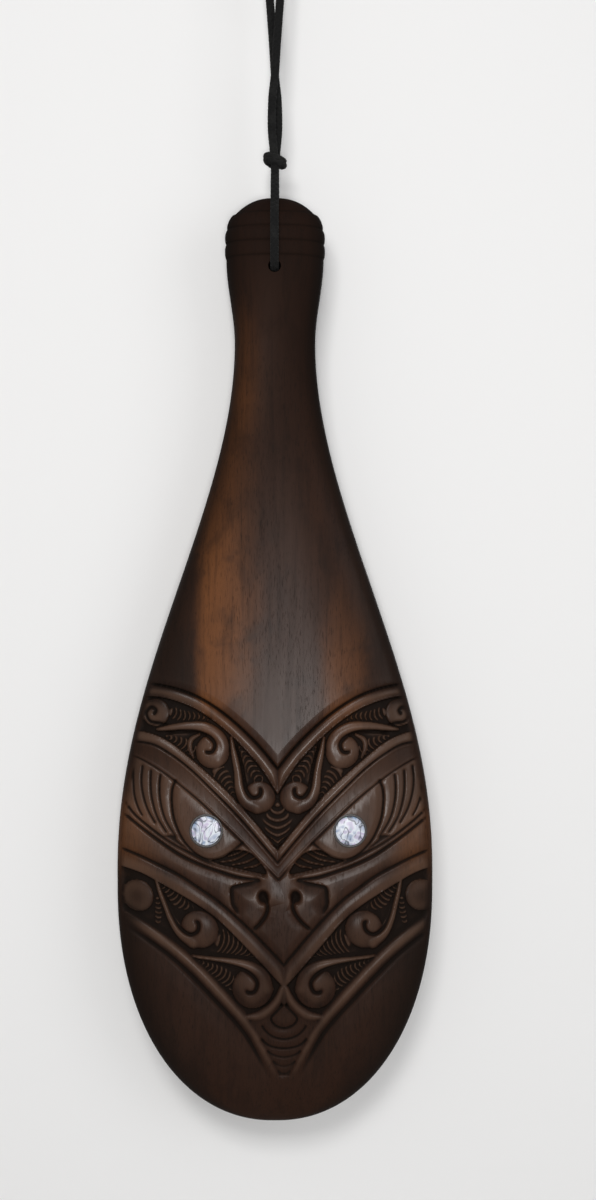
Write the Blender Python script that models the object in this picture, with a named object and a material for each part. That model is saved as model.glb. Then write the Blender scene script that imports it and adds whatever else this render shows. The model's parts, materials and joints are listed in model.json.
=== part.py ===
"""A short flat hand club of stained wood, hung by a braided wrist cord.

The club is one lofted piece: a domed butt with stepped bands, a waist for the hand and a wide flat blade.
Two panels with raised scrolls are carved across its face, and two shell discs are glued into pockets between
them as eyes. A cord passes through a hole in the butt, is knotted above it and ends in a wrist loop. The club
swings on the cord about the axis of that hole.

Metres, +Z up, carved face to -Y. The origin is inside the top of the wrist loop, where a peg bears.
Along the club, places are given as the distance d below the top of the butt.
"""

import math

import bmesh
import bpy
from mathutils import Matrix, Vector

# Club, along its length
CLUB_LENGTH = 0.368
DOME_HEIGHT = 0.0070
BAND_COUNT = 3
BAND_HEIGHT = 0.0058
BAND_STEP = 0.0007
WAIST_AT = 0.058
WIDEST_AT = 0.2744
HOLE_AT = 0.0290

# Club, across it: half widths, and half thicknesses of its middle
DOME_HALF_WIDTH = 0.0162
BUTT_HALF_WIDTH = 0.0200
BUTT_DRAW_IN = 0.0026
WAIST_HALF_WIDTH = 0.0161
BLADE_HALF_WIDTH = 0.0628
BUTT_HALF_THICK = 0.0140
WAIST_HALF_THICK = 0.0110
BLADE_HALF_THICK = 0.0125
BACK_LAND = 0.0110

# Roundness of the outlines: 2 is an ellipse, more is squarer
HANDLE_SQUARENESS = 2.3
BLADE_SQUARENESS = 3.2
TIP_SQUARENESS = 2.15
TIP_THICK_SQUARENESS = 3.2
DOME_POWER = 0.4
FLARE_LEAD = 0.72

# Cord hole and shell eyes
HOLE_RADIUS = 0.0028
EYE_AT = 0.2513
EYE_SPACING = 0.0567
EYE_OFFSET = 0.0014
SHELL_RADIUS = 0.0060
SHELL_THICK = 0.0015
GLUE_WALL = 0.0005
GLUE_FLOOR = 0.0004
EYE_CLEARANCE = 0.0001

# Carving: sunk panels with scrolls left standing. Each line of the left half is places out from the carving's
# centre line and down from the top of the butt, and the right half mirrors it. The centre line leans aside.
PANEL_DEPTH = 0.0018
CARVING_OFFSET = 0.0011
LOWER_CARVING_OFFSET = 0.0037
LEAN_FROM = 0.2587
LEAN_LENGTH = 0.0511
UPPER_PANEL_TOP = (
    (0.0490, 0.1984),
    (0.0383, 0.2005),
    (0.0305, 0.2041),
    (0.0226, 0.2096),
    (0.0147, 0.2168),
    (0.0069, 0.2257),
    (0.0, 0.2363),
)
UPPER_PANEL_FOOT = (
    (0.0501, 0.2135),
    (0.0423, 0.2170),
    (0.0344, 0.2231),
    (0.0187, 0.2375),
    (0.0108, 0.2461),
    (0.0, 0.2595),
)
LOWER_PANEL_TOP = (
    (0.0555, 0.2674),
    (0.0466, 0.2717),
    (0.0390, 0.2760),
    (0.0315, 0.2808),
    (0.0241, 0.2867),
    (0.0130, 0.2985),
    (0.0, 0.3130),
)
LOWER_PANEL_FOOT = (
    (0.0557, 0.2882),
    (0.0481, 0.2928),
    (0.0406, 0.2981),
    (0.0330, 0.3053),
    (0.0252, 0.3138),
    (0.0181, 0.3217),
    (0.0087, 0.3225),
    (0.0, 0.3181),
)

# Scrolls: the centre and radius of each round head, and each stem's places with its half width there
UPPER_HEADS = ((0.0482, 0.2048, 0.0053), (0.0256, 0.2202, 0.0065), (0.0071, 0.2381, 0.0061))
LOWER_HEADS = ((0.0560, 0.2772, 0.0061), (0.0324, 0.2902, 0.0073), (0.0122, 0.3134, 0.0083))
UPPER_STEMS = (
    ((0.0474, 0.2115, 0.0005), (0.0352, 0.2104, 0.0018), (0.0289, 0.2107, 0.0021), (0.0238, 0.2139, 0.0024)),
    ((0.0183, 0.2147, 0.0005), (0.0171, 0.2210, 0.0011), (0.0155, 0.2281, 0.0014), (0.0125, 0.2360, 0.0020)),
)
LOWER_STEMS = (
    ((0.0485, 0.2705, 0.0004), (0.0449, 0.2812, 0.0013), (0.0430, 0.2867, 0.0015), (0.0380, 0.2930, 0.0020)),
    ((0.0360, 0.3006, 0.0004), (0.0289, 0.3020, 0.0009), (0.0211, 0.3032, 0.0014), (0.0141, 0.3060, 0.0020)),
)

# Wrist cord
CORD_DIAMETER = 0.0032
CORD_CLEARANCE = 0.0003
LOOP_DROP = 0.130
KNOT_TO_BUTT = 0.0152
KNOT_WIDTH = 0.0093
KNOT_DEPTH = 0.0080
KNOT_HEIGHT = 0.0076
KNOT_ROUNDING = 0.0022
CROWN_RADIUS = 0.0064
CROSSING_ABOVE_KNOT = 0.0344

# Mesh density
POINTS_ROUND = 56
HANDLE_ROWS = 22
BLADE_ROWS = 20
TIP_ROWS = 16
ROUND_SEGMENTS = 40
HEAD_SEGMENTS = 20
GROUND_SPREAD = 1.03
CORD_STEP = 2.2 * CORD_DIAMETER

BANDS_END = DOME_HEIGHT + BAND_COUNT * BAND_HEIGHT
HOLE_Z = -(LOOP_DROP + KNOT_TO_BUTT + HOLE_AT)
CORD_RADIUS = CORD_DIAMETER / 2
PAIR_OFFSET = CORD_RADIUS + CORD_CLEARANCE / 2


def ease(value):
    """0 to 1 with a smooth start and end."""
    t = min(max(value, 0.0), 1.0)
    return t * t * (3 - 2 * t)


def mix(low, high, share):
    return low + (high - low) * share


def flare(d):
    """How far the outline has opened from waist to blade, 0 to 1. It opens a little ahead of a plain ease."""
    u = min(max((d - WAIST_AT) / (WIDEST_AT - WAIST_AT), 0.0), 1.0)
    return ease(u) + FLARE_LEAD * u * u * (1 - u) ** 1.5


def closing(d, squareness):
    """1 down to the widest place, then a rounded end that reaches 0 at the tip."""
    u = min(max((d - WIDEST_AT) / (CLUB_LENGTH - WIDEST_AT), 0.0), 1.0)
    return (1 - u**squareness) ** (1 / squareness)


def band_inset(d):
    """Each band stands proud at its lower edge and slopes in to its upper edge."""
    place = (d - DOME_HEIGHT) / BAND_HEIGHT
    if place <= 0 or place > BAND_COUNT:
        return 0.0
    along = place - math.ceil(place) + 1
    return BAND_STEP * (1 - along) ** 1.5


def half_width(d):
    if d <= DOME_HEIGHT:
        return DOME_HALF_WIDTH * (d / DOME_HEIGHT) ** DOME_POWER
    if d <= BANDS_END:
        draw_in = max(0.0, 1 - (d - DOME_HEIGHT) / (BANDS_END - DOME_HEIGHT) * 1.8)
        return BUTT_HALF_WIDTH - BUTT_DRAW_IN * draw_in**2 - band_inset(d)
    if d <= WAIST_AT:
        return mix(BUTT_HALF_WIDTH, WAIST_HALF_WIDTH, ease((d - BANDS_END) / (WAIST_AT - BANDS_END)))
    return mix(WAIST_HALF_WIDTH, BLADE_HALF_WIDTH, flare(d)) * closing(d, TIP_SQUARENESS)


def half_thickness(d):
    if d <= BANDS_END:
        return BUTT_HALF_THICK * half_width(d) / BUTT_HALF_WIDTH
    if d <= WAIST_AT:
        return mix(BUTT_HALF_THICK, WAIST_HALF_THICK, ease((d - BANDS_END) / (WAIST_AT - BANDS_END)))
    return mix(WAIST_HALF_THICK, BLADE_HALF_THICK, ease(flare(d))) * closing(d, TIP_THICK_SQUARENESS)


def squareness(d):
    return mix(HANDLE_SQUARENESS, BLADE_SQUARENESS, ease(flare(d)))


def front_depth(x, d):
    """How far the face stands forward of the club's middle plane."""
    power = squareness(d)
    return half_thickness(d) * (1 - abs(x / half_width(d)) ** power) ** (1 / power)


def section(d, sunk=0.0):
    """One ring of the loft, as points of x and y. Below the waist the back is planed to a flat land.

    A sunk ring has its face that much lower, and is a little wider so that it meets the face near the edge.
    """
    power = 2 / squareness(d)
    wide = half_width(d) * (GROUND_SPREAD if sunk else 1.0)
    ring = []
    for step in range(POINTS_ROUND):
        angle = math.tau * step / POINTS_ROUND
        across, through = math.cos(angle), math.sin(angle)
        x = math.copysign(wide * abs(across) ** power, across)
        y = math.copysign((half_thickness(d) - sunk) * abs(through) ** power, through)
        if d >= WAIST_AT:
            y = min(y, BACK_LAND)
        ring.append((x, y))
    return ring


def ring_places():
    """Distances of the loft's rings: close on the dome and bands, even on the rest, closing up at the tip."""
    lip = BAND_STEP / 2
    places = [DOME_HEIGHT * share**2 for share in (0.12, 0.25, 0.4, 0.55, 0.7, 0.85, 1.0)]
    for band in range(BAND_COUNT):
        top = DOME_HEIGHT + band * BAND_HEIGHT
        places += [top + lip, top + BAND_HEIGHT * 0.4, top + BAND_HEIGHT * 0.75, top + BAND_HEIGHT]
    for rows, start, end in ((HANDLE_ROWS, BANDS_END, WAIST_AT * 2), (BLADE_ROWS, WAIST_AT * 2, WIDEST_AT)):
        places += [mix(start, end, row / rows) for row in range(1, rows + 1)]
    for row in range(1, TIP_ROWS):
        places.append(mix(WIDEST_AT, CLUB_LENGTH, math.sin(math.pi / 2 * row / TIP_ROWS)))
    return places


def new_collection(name):
    collection = bpy.data.collections.new(name)
    bpy.context.scene.collection.children.link(collection)
    return collection


def new_material(name, colour, roughness, metallic=0.0):
    material = bpy.data.materials.new(name)
    material.use_nodes = True
    shader = material.node_tree.nodes["Principled BSDF"]
    shader.inputs["Base Color"].default_value = (*colour, 1.0)
    shader.inputs["Roughness"].default_value = roughness
    shader.inputs["Metallic"].default_value = metallic
    return material


def add_object(name, bm, collection, parent=None, material=None):
    """Puts a finished bmesh in the scene, shaded smooth but for its sharp edges."""
    mesh = bpy.data.meshes.new(name)
    bmesh.ops.recalc_face_normals(bm, faces=bm.faces)
    bm.to_mesh(mesh)
    bm.free()
    mesh.shade_smooth()
    mesh.set_sharp_from_angle(angle=math.radians(35))
    obj = bpy.data.objects.new(name, mesh)
    obj.parent = parent
    collection.objects.link(obj)
    if material:
        mesh.materials.append(material)
    return obj


def cylinder_mesh(radius, length, centre):
    """A cylinder whose axis runs through the club, along Y."""
    bm = bmesh.new()
    place = Matrix.Translation(centre) @ Matrix.Rotation(math.pi / 2, 4, "X")
    bmesh.ops.create_cone(
        bm, cap_ends=True, segments=ROUND_SEGMENTS, radius1=radius, radius2=radius, depth=length, matrix=place
    )
    return bm


def cut(obj, bm):
    """Takes a cutter's shape out of an object, which may be a cutter itself."""
    cutter = add_object(f"{obj.name}_cutter_{len(obj.modifiers)}", bm, cutters, obj.parent)
    cutter.hide_render = True
    cutter.display_type = "WIRE"
    boolean = obj.modifiers.new("cut", "BOOLEAN")
    boolean.operation = "DIFFERENCE"
    boolean.object = cutter
    return cutter


def club_mesh(sunk=0.0):
    """The loft: rings from butt to tip, closed by one point at each end. The cord hole is at local zero."""
    bm = bmesh.new()
    top = bm.verts.new((0, 0, HOLE_AT))
    places = ring_places()
    if sunk:
        places = [d for d in places if half_thickness(d) > 2 * sunk]
    rings = [[bm.verts.new((x, y, HOLE_AT - d)) for x, y in section(d, sunk)] for d in places]
    tip = bm.verts.new((0, 0, HOLE_AT - CLUB_LENGTH))
    for step in range(POINTS_ROUND):
        following = (step + 1) % POINTS_ROUND
        bm.faces.new((top, rings[0][step], rings[0][following]))
        bm.faces.new((tip, rings[-1][following], rings[-1][step]))
        for upper, lower in zip(rings, rings[1:]):
            bm.faces.new((upper[step], lower[step], lower[following], upper[following]))
    return bm


def carving_block(outline):
    """A block that stands in front of the club's middle plane, over an outline drawn on the carving."""
    bm = bmesh.new()
    corners = []
    for out, d in outline:
        centre = mix(CARVING_OFFSET, LOWER_CARVING_OFFSET, ease((d - LEAN_FROM) / LEAN_LENGTH))
        corners.append(bm.verts.new((centre + out, -2 * BLADE_HALF_THICK, HOLE_AT - d)))
    moved = bmesh.ops.extrude_face_region(bm, geom=[bm.faces.new(corners)])["geom"]
    inner = [item for item in moved if isinstance(item, bmesh.types.BMVert)]
    bmesh.ops.translate(bm, vec=(0, 2 * BLADE_HALF_THICK, 0), verts=inner)
    return bm


def across_both_halves(line):
    """A line of the left half, carried on over the centre line to the right edge."""
    return [(-out, d) for out, d in line] + [(out, d) for out, d in reversed(line[:-1])]


def head_outline(out, d, radius):
    angles = [math.tau * step / HEAD_SEGMENTS for step in range(HEAD_SEGMENTS)]
    return [(out + radius * math.cos(angle), d + radius * math.sin(angle)) for angle in angles]


def stem_outline(stem):
    """Both sides of a stem that widens along its places."""
    sides = ([], [])
    for index, (out, d, half) in enumerate(stem):
        before, after = stem[max(index - 1, 0)], stem[min(index + 1, len(stem) - 1)]
        ahead = Vector((after[0] - before[0], after[1] - before[1])).normalized()
        sides[0].append((out - ahead.y * half, d + ahead.x * half))
        sides[1].append((out + ahead.y * half, d - ahead.x * half))
    return sides[0] + sides[1][::-1]


def carve_panel(top, foot, heads, stems):
    """Sinks the ground between two lines, around the scrolls of both halves."""
    block = carving_block(across_both_halves(top) + across_both_halves(foot)[::-1])
    panel = cut(club, block)
    cut(panel, club_mesh(PANEL_DEPTH))
    outlines = [head_outline(*head) for head in heads] + [stem_outline(stem) for stem in stems]
    for outline in outlines:
        for side in (-1, 1):
            cut(panel, carving_block([(side * out, d) for out, d in outline]))


def eye(side, x):
    """A shell disc in a cup of dark glue, let into a round pocket in the blade's face."""
    face = -front_depth(x, EYE_AT)
    z = HOLE_AT - EYE_AT
    shell_back = face + SHELL_THICK
    cup_floor = shell_back + EYE_CLEARANCE
    cup_back = cup_floor + GLUE_FLOOR
    pocket_floor = cup_back + EYE_CLEARANCE
    cup_bore = SHELL_RADIUS + EYE_CLEARANCE
    cup_radius = cup_bore + GLUE_WALL
    above = BLADE_HALF_THICK

    shell = cylinder_mesh(SHELL_RADIUS, SHELL_THICK, (x, (face + shell_back) / 2, z))
    add_object(f"eye_shell_{side}", shell, club_parts, pivot, shell_finish)
    cup = cylinder_mesh(cup_radius, cup_back - face, (x, (face + cup_back) / 2, z))
    cup = add_object(f"eye_glue_{side}", cup, club_parts, pivot, glue_finish)
    cut(cup, cylinder_mesh(cup_bore, cup_floor - face + above, (x, (cup_floor + face - above) / 2, z)))
    pocket = cylinder_mesh(
        cup_radius + EYE_CLEARANCE, pocket_floor - face + above, (x, (pocket_floor + face - above) / 2, z)
    )
    cut(club, pocket)


def smooth_route(points):
    """Points a step apart along a smooth curve through a cord's own points."""
    points = [Vector(point) for point in points]
    ends = [points[0] * 2 - points[1], *points, points[-1] * 2 - points[-2]]
    route = []
    for before, start, end, after in zip(ends, ends[1:], ends[2:], ends[3:]):
        count = max(2, math.ceil((end - start).length / CORD_STEP))
        for step in range(count):
            t = step / count
            route.append(
                0.5
                * (
                    2 * start
                    + (end - before) * t
                    + (2 * before - 5 * start + 4 * end - after) * t**2
                    + (3 * start - before - 3 * end + after) * t**3
                )
            )
    return [*route, points[-1]]


def cord(name, points):
    """A stretch of the cord: a round tube with closed ends along a smooth route."""
    route = smooth_route(points)
    curve = bpy.data.curves.new(name, "CURVE")
    curve.dimensions = "3D"
    curve.bevel_depth = CORD_RADIUS
    curve.bevel_resolution = 2
    curve.use_fill_caps = True
    spline = curve.splines.new("POLY")
    spline.points.add(len(route) - 1)
    for target, point in zip(spline.points, route):
        target.co = (*point, 1.0)
    curve.materials.append(cord_finish)
    club_parts.objects.link(bpy.data.objects.new(name, curve))


def lower_cord_points():
    """Down the front from the knot, over the bands, back through the hole and up behind, held taut."""
    knot_bottom = -(LOOP_DROP + KNOT_HEIGHT / 2 + CORD_CLEARANCE)
    stand_off = BUTT_HALF_THICK + CORD_RADIUS + CORD_CLEARANCE * 1.5
    bend = 2.5 * CORD_RADIUS
    front = [
        (PAIR_OFFSET, knot_bottom),
        (PAIR_OFFSET * 1.1, knot_bottom - CORD_DIAMETER),
        (mix(PAIR_OFFSET, stand_off, 0.36), mix(knot_bottom, HOLE_Z + HOLE_AT - DOME_HEIGHT, 0.43)),
        (mix(PAIR_OFFSET, stand_off, 0.95), HOLE_Z + HOLE_AT - DOME_HEIGHT * 1.2),
        (stand_off, HOLE_Z + HOLE_AT - DOME_HEIGHT - BAND_HEIGHT),
        (stand_off, HOLE_Z + bend * 1.6),
        (stand_off - bend * 0.22, HOLE_Z + bend * 0.42),
        (stand_off - bend * 1.02, HOLE_Z),
        (BUTT_HALF_THICK * 0.45, HOLE_Z),
    ]
    return [(0, -y, z) for y, z in front] + [(0, y, z) for y, z in reversed(front)]


def loop_points():
    """Two strands rise from the knot, one before the other, cross and part to a round crown over the peg."""
    knot_top = -(LOOP_DROP - KNOT_HEIGHT / 2 - CORD_CLEARANCE)
    crossing = -(LOOP_DROP - CROSSING_ABOVE_KNOT)
    crown = CORD_RADIUS - CROWN_RADIUS
    parted = mix(crossing, crown, 0.45)
    rise = [
        (-PAIR_OFFSET * 0.30, -PAIR_OFFSET * 0.98, knot_top),
        (-PAIR_OFFSET * 0.72, -PAIR_OFFSET * 0.74, mix(knot_top, crossing, 0.3)),
        (-PAIR_OFFSET * 0.58, -PAIR_OFFSET * 0.88, mix(knot_top, crossing, 0.68)),
        (0, -PAIR_OFFSET * 1.08, crossing),
        (PAIR_OFFSET * 0.52, -PAIR_OFFSET * 0.88, mix(crossing, parted, 0.35)),
        (CROWN_RADIUS * 0.45, 0, parted),
        (CROWN_RADIUS * 0.82, 0, mix(parted, crown, 0.6)),
        (CROWN_RADIUS, 0, crown),
        (CROWN_RADIUS * 0.71, 0, crown + CROWN_RADIUS * 0.71),
    ]
    return rise + [(0, 0, crown + CROWN_RADIUS)] + [(-x, -y, z) for x, y, z in reversed(rise)]


def knot_mesh():
    """A tight round lump, flat where the strands enter it."""
    bm = bmesh.new()
    bmesh.ops.create_cone(
        bm, cap_ends=True, segments=24, radius1=KNOT_WIDTH / 2, radius2=KNOT_WIDTH / 2, depth=KNOT_HEIGHT
    )
    rims = [edge for edge in bm.edges if abs(edge.verts[0].co.z - edge.verts[1].co.z) < KNOT_HEIGHT / 2]
    bmesh.ops.bevel(bm, geom=rims, offset=KNOT_ROUNDING, segments=4, profile=0.5, affect="EDGES")
    bmesh.ops.scale(bm, vec=(1, KNOT_DEPTH / KNOT_WIDTH, 1), verts=bm.verts)
    bmesh.ops.translate(bm, vec=(0, 0, -LOOP_DROP), verts=bm.verts)
    return bm


for old in list(bpy.data.objects):
    bpy.data.objects.remove(old, do_unlink=True)

club_parts = new_collection("hand_club")
cutters = new_collection("cutters")
wood_finish = new_material("dark_stained_wood", (0.060, 0.024, 0.012), 0.42)
shell_finish = new_material("polished_shell", (0.62, 0.68, 0.70), 0.18, 0.2)
glue_finish = new_material("dark_glue", (0.012, 0.010, 0.010), 0.35)
cord_finish = new_material("black_braid", (0.010, 0.010, 0.011), 0.85)

# The club's pieces hang on the axis of the cord hole, which they swing about.
pivot = bpy.data.objects.new("club_pivot", None)
pivot.location = (0, 0, HOLE_Z)
club_parts.objects.link(pivot)

club = add_object("club_body", club_mesh(), club_parts, pivot, wood_finish)
cut(club, cylinder_mesh(HOLE_RADIUS, BUTT_HALF_THICK * 4, (0, 0, 0)))
carve_panel(UPPER_PANEL_TOP, UPPER_PANEL_FOOT, UPPER_HEADS, UPPER_STEMS)
carve_panel(LOWER_PANEL_TOP, LOWER_PANEL_FOOT, LOWER_HEADS, LOWER_STEMS)
eye("left", EYE_OFFSET - EYE_SPACING / 2)
eye("right", EYE_OFFSET + EYE_SPACING / 2)

cord("cord_lower", lower_cord_points())
add_object("cord_knot", knot_mesh(), club_parts, None, cord_finish)
cord("cord_loop", loop_points())
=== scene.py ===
"""The looks of a carved wooden hand club with shell eyes and a black wrist cord, hung on a pale wall."""

import json
import math

import bmesh
import bpy
import numpy as np
from mathutils import Matrix, Vector


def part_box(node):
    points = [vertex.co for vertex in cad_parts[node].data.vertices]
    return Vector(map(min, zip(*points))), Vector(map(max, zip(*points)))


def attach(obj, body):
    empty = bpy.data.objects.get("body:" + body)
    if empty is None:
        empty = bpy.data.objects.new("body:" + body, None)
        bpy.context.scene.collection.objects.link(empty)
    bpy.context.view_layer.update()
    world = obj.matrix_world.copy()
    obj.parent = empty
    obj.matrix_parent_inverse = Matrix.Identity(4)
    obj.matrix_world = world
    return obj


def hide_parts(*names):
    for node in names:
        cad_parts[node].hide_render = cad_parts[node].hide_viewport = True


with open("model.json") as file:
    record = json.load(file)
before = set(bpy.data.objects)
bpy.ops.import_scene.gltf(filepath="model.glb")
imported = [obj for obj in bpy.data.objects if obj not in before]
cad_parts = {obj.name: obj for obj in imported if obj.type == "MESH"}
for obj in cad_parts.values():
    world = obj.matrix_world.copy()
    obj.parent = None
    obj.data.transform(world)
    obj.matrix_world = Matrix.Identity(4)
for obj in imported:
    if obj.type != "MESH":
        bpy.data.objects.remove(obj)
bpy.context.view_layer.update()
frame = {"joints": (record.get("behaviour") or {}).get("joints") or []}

# Club blank
# One piece of straight-grained wood, shaped as a domed butt with three stepped bands, a waist for the hand
# and a wide flat blade with rounded edges. Its back is planed flat. Lengths are in metres along the club,
# as the distance d below the top of the butt, and x is across it.
CLUB_LOW, CLUB_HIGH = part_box("club_body")
BUTT_TOP_Z = CLUB_HIGH.z
CLUB_LENGTH = CLUB_HIGH.z - CLUB_LOW.z
BLADE_HALF_WIDTH = (CLUB_HIGH.x - CLUB_LOW.x) / 2
DOME_HEIGHT = 0.0070
BAND_COUNT = 3
BAND_HEIGHT = 0.0058
BAND_STEP = 0.00055
BAND_ROUNDNESS = 3
BANDS_END = DOME_HEIGHT + BAND_COUNT * BAND_HEIGHT
WAIST_AT = 0.058
WIDEST_AT = 0.2744
DOME_HALF_WIDTH = 0.0162
BUTT_HALF_WIDTH = 0.0200
BUTT_DRAW_IN = 0.0026
DRAW_IN_PACE = 1.8
WAIST_HALF_WIDTH = 0.0161
BUTT_HALF_THICK = 0.0140
WAIST_HALF_THICK = 0.0110
BLADE_HALF_THICK = 0.0125
BACK_LAND = 0.0110
HANDLE_SQUARENESS = 2.3
BLADE_SQUARENESS = 3.2
TIP_SQUARENESS = 2.15
DOME_POWER = 0.4
FLARE_LEAD = 0.72


def ease(value):
    """0 below 0, 1 above 1, smooth between."""
    t = np.clip(value, 0.0, 1.0)
    return t * t * (3 - 2 * t)


def flare(d):
    """0 at the waist, 1 at the widest place of the blade."""
    u = np.clip((d - WAIST_AT) / (WIDEST_AT - WAIST_AT), 0.0, 1.0)
    return ease(u) + FLARE_LEAD * u * u * (1 - u) ** 1.5


def closing(d, power):
    """1 down to the widest place, then rounding in to 0 at the tip."""
    u = np.clip((d - WIDEST_AT) / (CLUB_LENGTH - WIDEST_AT), 0.0, 1.0)
    return (1 - u**power) ** (1 / power)


def half_width(d):
    place = (d - DOME_HEIGHT) / BAND_HEIGHT
    inset = BAND_STEP * np.abs(2 * (np.ceil(place) - place) - 1) ** BAND_ROUNDNESS
    draw_in = np.clip(1 - (d - DOME_HEIGHT) / (BANDS_END - DOME_HEIGHT) * DRAW_IN_PACE, 0.0, 1.0)
    dome = DOME_HALF_WIDTH * (np.clip(d, 0.0, DOME_HEIGHT) / DOME_HEIGHT) ** DOME_POWER
    bands = BUTT_HALF_WIDTH - BUTT_DRAW_IN * draw_in**2 - inset
    neck = ease((d - BANDS_END) / (WAIST_AT - BANDS_END))
    handle = BUTT_HALF_WIDTH - BAND_STEP + (WAIST_HALF_WIDTH - BUTT_HALF_WIDTH + BAND_STEP) * neck
    blade = WAIST_HALF_WIDTH + (BLADE_HALF_WIDTH - WAIST_HALF_WIDTH) * flare(d)
    blade = blade * closing(d, TIP_SQUARENESS)
    return np.select([d <= DOME_HEIGHT, d <= BANDS_END, d <= WAIST_AT], [dome, bands, handle], blade)


def half_thickness(d):
    butt = BUTT_HALF_THICK * half_width(d) / BUTT_HALF_WIDTH
    neck = ease((d - BANDS_END) / (WAIST_AT - BANDS_END))
    drop = BAND_STEP * BUTT_HALF_THICK / BUTT_HALF_WIDTH
    handle = BUTT_HALF_THICK - drop + (WAIST_HALF_THICK - BUTT_HALF_THICK + drop) * neck
    blade = WAIST_HALF_THICK + (BLADE_HALF_THICK - WAIST_HALF_THICK) * ease(flare(d))
    return np.select([d <= BANDS_END, d <= WAIST_AT], [butt, handle], blade * closing(d, BLADE_SQUARENESS))


def squareness(d):
    return HANDLE_SQUARENESS + (BLADE_SQUARENESS - HANDLE_SQUARENESS) * ease(flare(d))


# Carving
# Cut by hand into the blade's face: V bands, sunk panels with scrolls and rows of small notches, two leaf
# shaped eye fields, a beak with nostrils and a chin of crescents. Only the left half is drawn. Its lines are
# places in the photograph, in pixels, and the right half mirrors them about the carver's centre line.
PIXEL_MM = 0.39333
SIGHT_PIXEL = 600.0
SIGHT_MM = 160.4
SIGHT_ACROSS_PIXEL = 298.0
SIGHT_ACROSS_MM = 9.2
CENTRE_PIXEL = 277.5
CENTRE_DRIFT = 6.5
DRIFT_FROM = 850.0
DRIFT_OVER = 130.0
LINE_STEPS = 8
GRID_MM = 0.2
GRID_WIDE = 66.0
GRID_TOP = 184.0
GRID_TIP = 362.0
GROUND = 1.8
WALL_SLOPE = 2.6
HEAD_ROUNDNESS = 2.4
NOTCH_HEIGHT = 0.85
NOTCH_SHARPNESS = 2.2
NOTCH_RUN_OUT = 0.25
SCROLL_TOP = -0.05
SCROLL_CROWN = 0.8
STEM_DROP = 0.15
STEM_CROWN_SHARE = 0.7

side_mm, down_mm = np.meshgrid(np.arange(0, GRID_WIDE, GRID_MM), np.arange(GRID_TOP, GRID_TIP, GRID_MM))
relief = np.zeros_like(side_mm)


def centre_line_pixel(py):
    return CENTRE_PIXEL + CENTRE_DRIFT * ease((py - DRIFT_FROM) / DRIFT_OVER)


def centre_line_mm(down):
    """Where the carving's centre line stands, across from the club's own, in mm."""
    pixel = centre_line_pixel(SIGHT_PIXEL + (down - SIGHT_MM) / PIXEL_MM)
    return (pixel - SIGHT_ACROSS_PIXEL) * PIXEL_MM + SIGHT_ACROSS_MM


def smooth_curve(knots, steps):
    """Points along a smooth curve through the knots, with so many steps from each to the next."""
    ends = np.vstack([2 * knots[0] - knots[1], knots, 2 * knots[-1] - knots[-2]])
    t = np.linspace(0, 1, steps, endpoint=False)[:, None]
    spans = []
    for before, start, end, after in zip(ends, ends[1:], ends[2:], ends[3:]):
        square = 2 * before - 5 * start + 4 * end - after
        cube = 3 * start - before - 3 * end + after
        spans.append(0.5 * (2 * start + (end - before) * t + (square * t**2 + cube * t**3)))
    return np.vstack([*spans, knots[-1:]])


def on_face(*pixels):
    """Photo places, as mm out from the centre line and mm down the club."""
    px, py = np.array(pixels, float).T
    out = (centre_line_pixel(py) - px) * PIXEL_MM
    return np.column_stack([out, SIGHT_MM + (py - SIGHT_PIXEL) * PIXEL_MM])


def line(*pixels):
    """A smooth line through photo places."""
    return smooth_curve(on_face(*pixels), LINE_STEPS)


def cells(low, high, start):
    """The cells that a stretch in mm takes up, along one direction of the grid."""
    return slice(max(0, int((low - start) / GRID_MM)), max(1, int((high - start) / GRID_MM) + 2))


def near(path, reach):
    """Grid places within reach of a path: where they are, how far off, how far along, on which side."""
    low, high = path.min(0) - reach, path.max(0) + reach
    spot = cells(low[1], high[1], GRID_TOP), cells(low[0], high[0], 0.0)
    a, d = side_mm[spot], down_mm[spot]
    best = np.full(a.shape, 1e9)
    share = np.zeros(a.shape)
    side = np.zeros(a.shape)
    spans = np.linalg.norm(np.diff(path, axis=0), axis=1)
    starts = np.concatenate([[0], np.cumsum(spans)])
    for begin, end, span, start in zip(path, path[1:], spans, starts):
        step = (end - begin) / max(span, 1e-9)
        t = np.clip((a - begin[0]) * step[0] + (d - begin[1]) * step[1], 0, span)
        off_a = a - begin[0] - t * step[0]
        off_d = d - begin[1] - t * step[1]
        square = off_a**2 + off_d**2
        closer = square < best
        best = np.where(closer, square, best)
        share = np.where(closer, (start + t) / starts[-1], share)
        side = np.where(closer, step[0] * off_d - step[1] * off_a, side)
    return spot, np.sqrt(best), share, np.sign(side)


def within(path, spot):
    """Which grid places of a patch a closed path goes round."""
    a, d = side_mm[spot], down_mm[spot]
    inside = np.zeros(a.shape, bool)
    for (a0, d0), (a1, d1) in zip(path, np.roll(path, -1, axis=0)):
        if d0 != d1:
            crosses = (d0 > d) != (d1 > d)
            inside ^= crosses & (a < (a1 - a0) * (d - d0) / (d1 - d0) + a0)
    return inside


def band_of(values, middle, spread):
    """1 in the middle of a band, falling softly to 0 at its sides."""
    return np.exp(-(((values - middle) / spread) ** 2))


def sink(path, depth, slope):
    """Lowers the ground inside a closed path, with sloping sides."""
    closed = np.vstack([path, path[:1]])
    spot, off, _, _ = near(closed, 1.0)
    ground = np.where(within(path, spot), -depth * ease(off / slope), 0.0)
    relief[spot] = np.minimum(relief[spot], ground)


def fill(path, level):
    """Brings the ground inside a closed path up to a level."""
    spot, _, _, _ = near(path, 0.5)
    relief[spot] = np.where(within(path, spot), np.maximum(relief[spot], level), relief[spot])


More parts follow.
